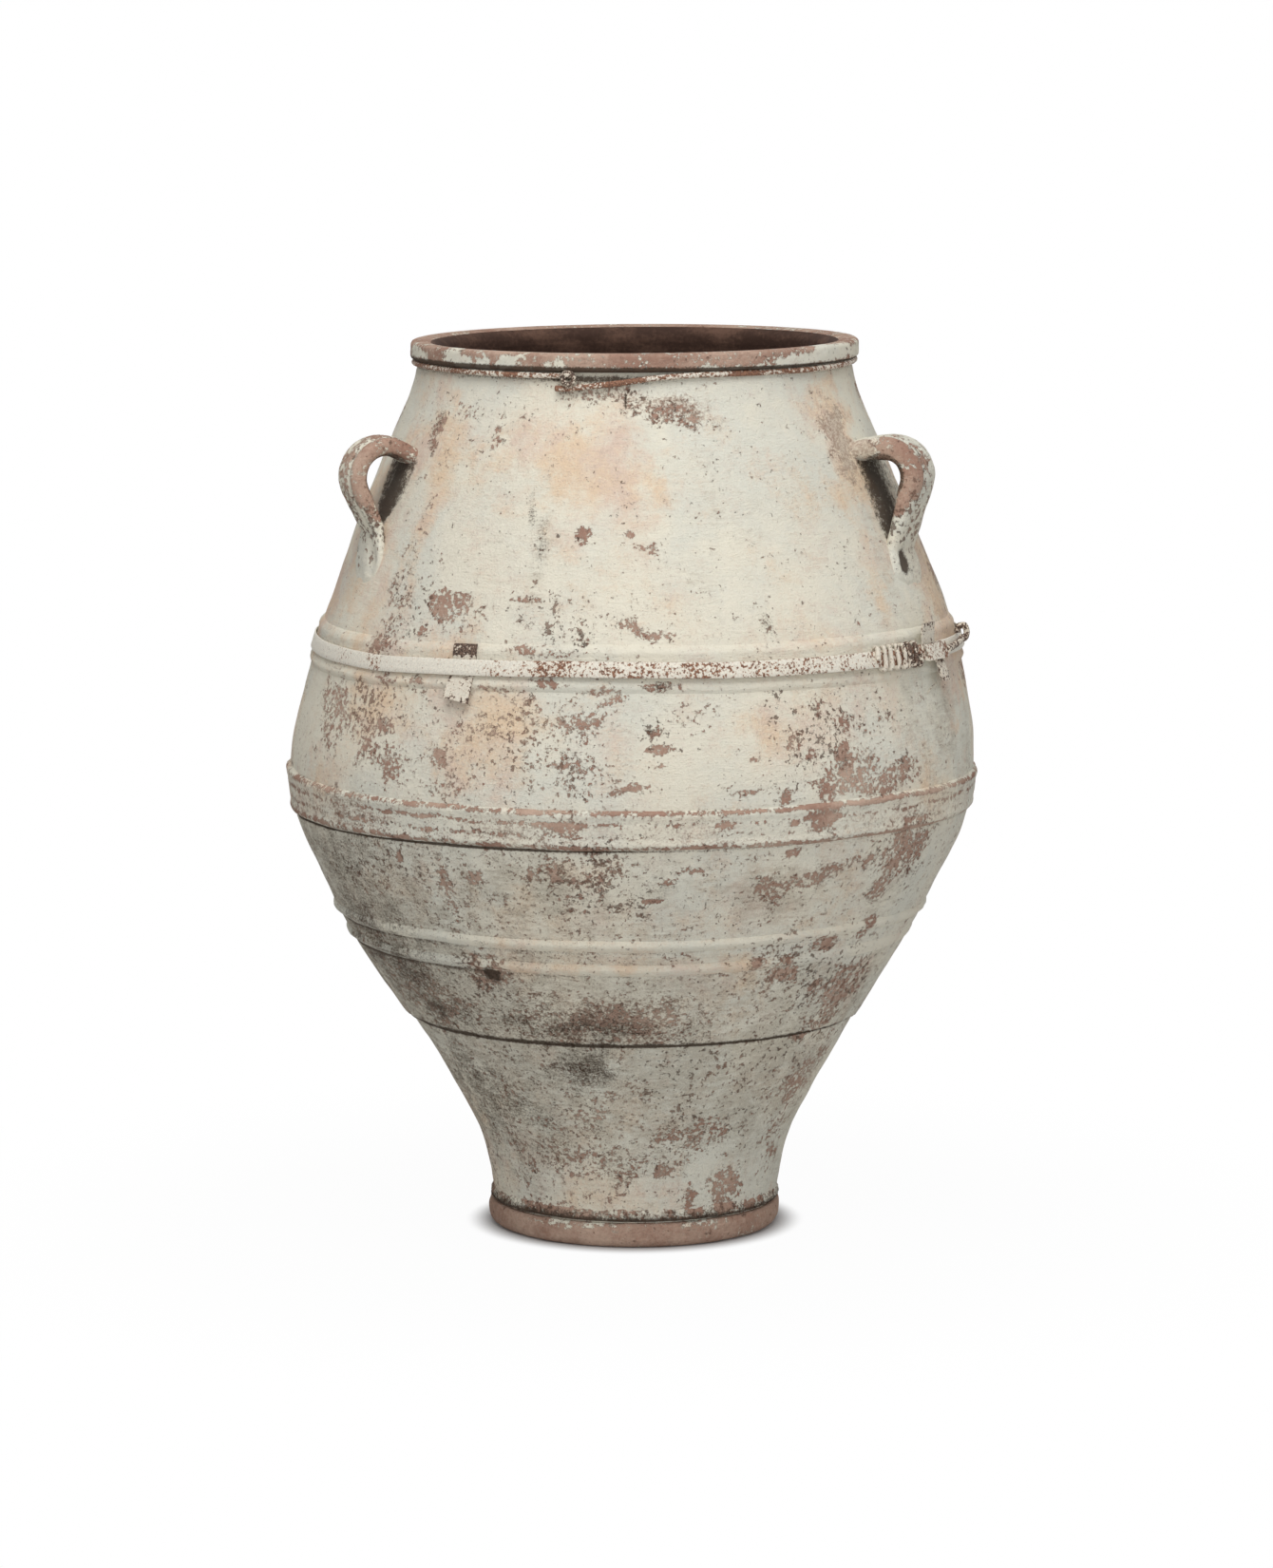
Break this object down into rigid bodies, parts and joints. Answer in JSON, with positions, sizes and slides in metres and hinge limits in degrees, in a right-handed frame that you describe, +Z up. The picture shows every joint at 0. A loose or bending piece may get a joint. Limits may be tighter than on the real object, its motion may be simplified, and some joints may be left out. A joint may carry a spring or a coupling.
{
  "type": "greek pithos",
  "caption": "Tall Greek pithos in limewashed terracotta with strap handles, clay bands, a wire under the lip and a lashed iron strap round the shoulder",
  "frame": {"origin": "centre of the slab's underside, on the floor", "axes": "+Z up along the jar's axis, -Y towards the front where the neck wire's eye and the strap's clip are seen"},
  "size_m": [0.7455, 0.7456, 0.96],
  "materials": {
    "limewashed_terracotta": "worn limewash over matte terracotta",
    "bare_terracotta": "bare matte terracotta",
    "painted_iron": "flaking white paint over rust",
    "rusty_iron": "rusted iron with remnants of white paint"
  },
  "bodies": {
    "root": {"foot_slab": "bare_terracotta", "foot_fillet": "bare_terracotta", "rim_lip": "bare_terracotta", "handle_left": "bare_terracotta", "handle_right": "bare_terracotta", "handle_back": "bare_terracotta", "lower_wall": "limewashed_terracotta", "waist_wall": "limewashed_terracotta", "belly_wall": "limewashed_terracotta", "body_wall": "limewashed_terracotta", "shoulder_wall": "limewashed_terracotta", "lower_cordon": "limewashed_terracotta", "upper_cordon": "limewashed_terracotta", "belly_band": "limewashed_terracotta", "shoulder_band": "limewashed_terracotta", "neck_wire": "painted_iron", "neck_wire_tail": "painted_iron", "strap_hoop": "painted_iron", "strap_end_loop": "painted_iron", "strap_clip": "painted_iron", "neck_wire_eye": "rusty_iron", "strap_lashing": "rusty_iron", "strap_tab": "rusty_iron", "strap_drop": "rusty_iron", "lashing_pigtail": "rusty_iron", "drop_wire": "rusty_iron"}
  },
  "joints": []
}
